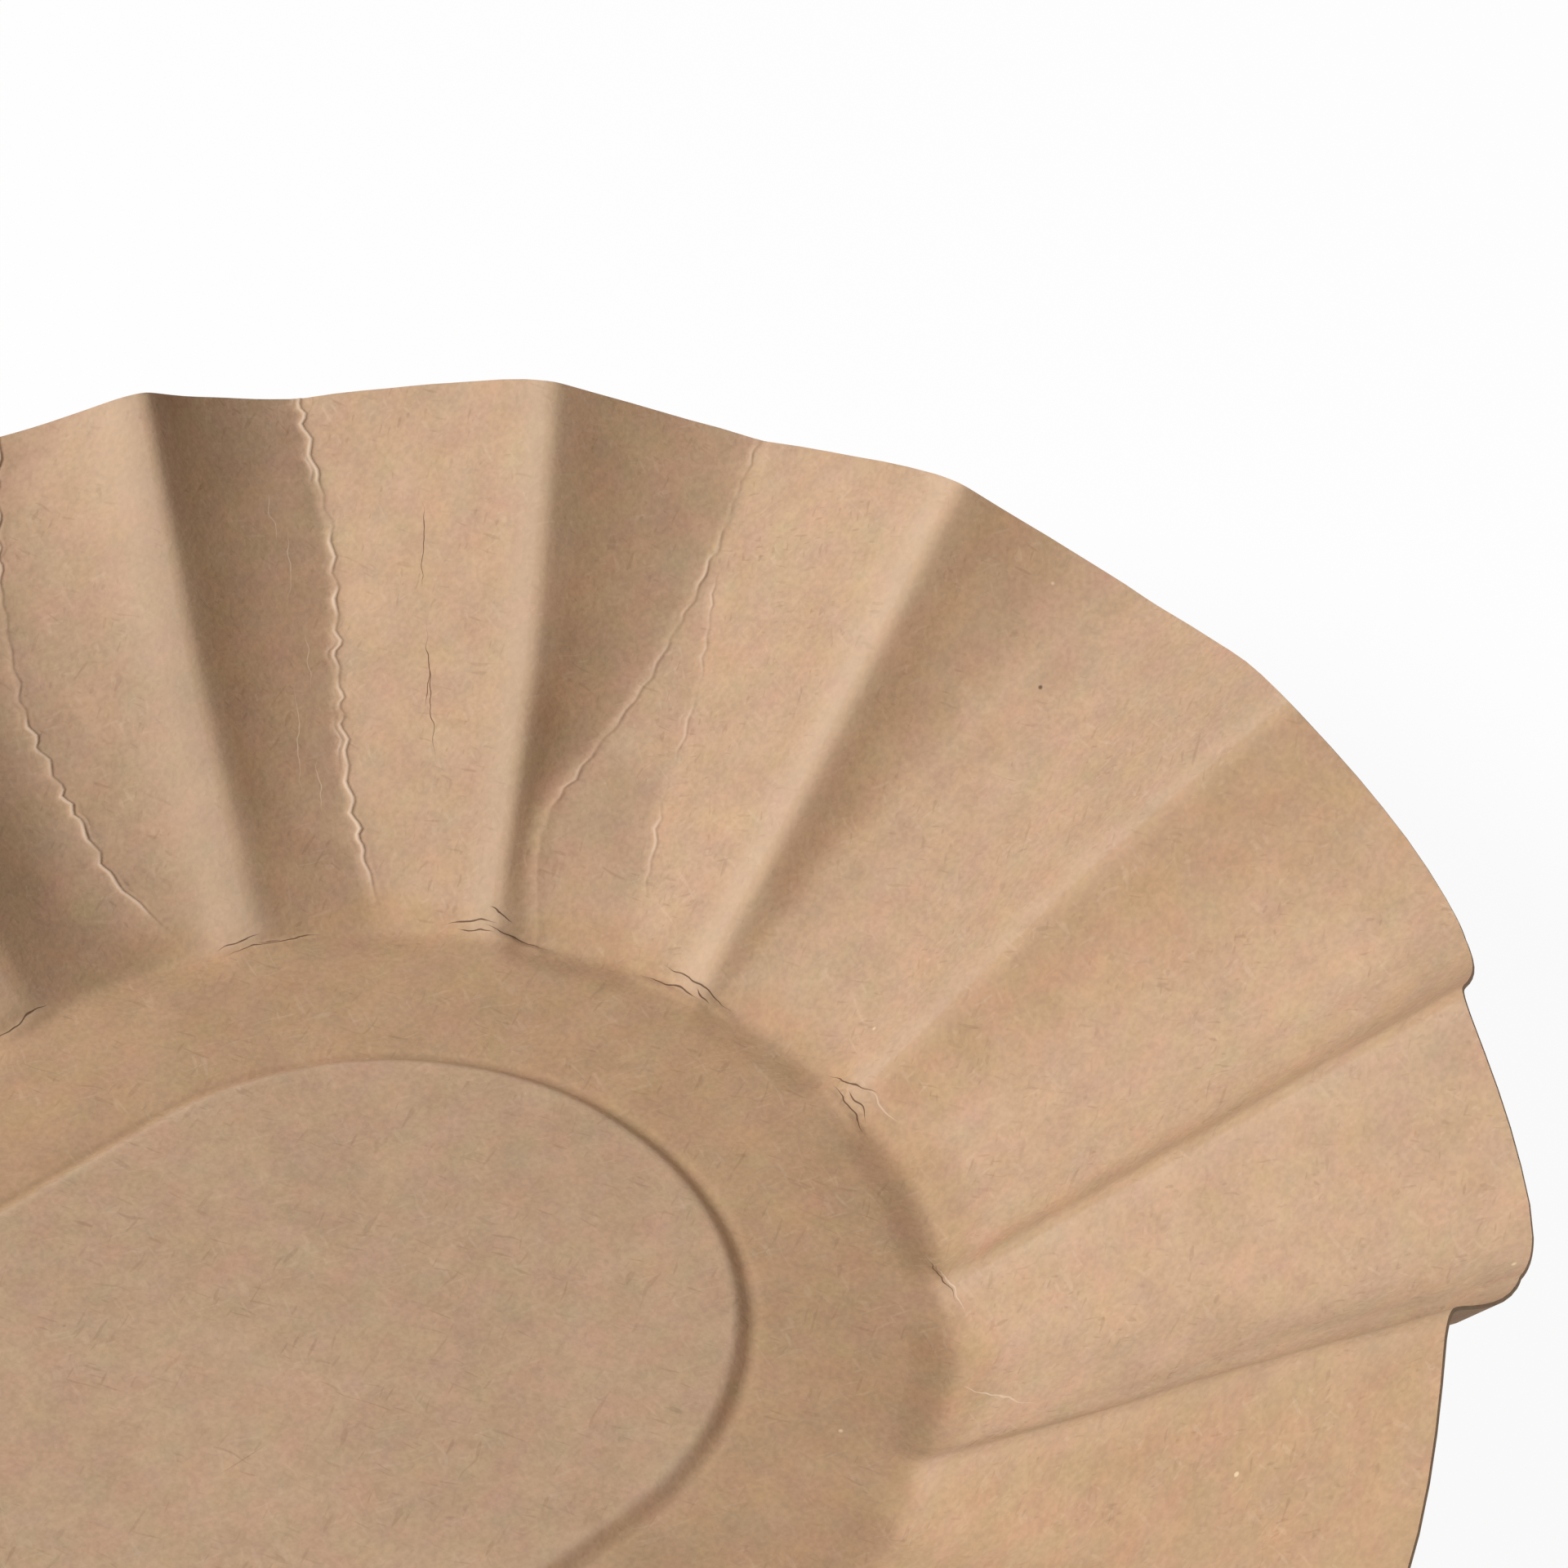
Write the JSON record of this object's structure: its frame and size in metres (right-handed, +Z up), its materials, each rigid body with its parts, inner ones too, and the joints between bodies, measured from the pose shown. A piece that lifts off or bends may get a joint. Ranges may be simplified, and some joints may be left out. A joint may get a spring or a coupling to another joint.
{
  "type": "paper food tray",
  "caption": "Shallow oval food tray pressed from one sheet of brown kraft board, with a raised floor panel and a flared, fluted wall.",
  "frame": {"origin": "centre of the oval, on the surface that the tray stands on", "axes": "+X along the tray's length, +Y across it, +Z up towards the open mouth"},
  "size_m": [0.1664, 0.1044, 0.0202],
  "materials": {
    "kraft_board": "matte"
  },
  "bodies": {
    "root": {"tray": "kraft_board"}
  },
  "joints": []
}
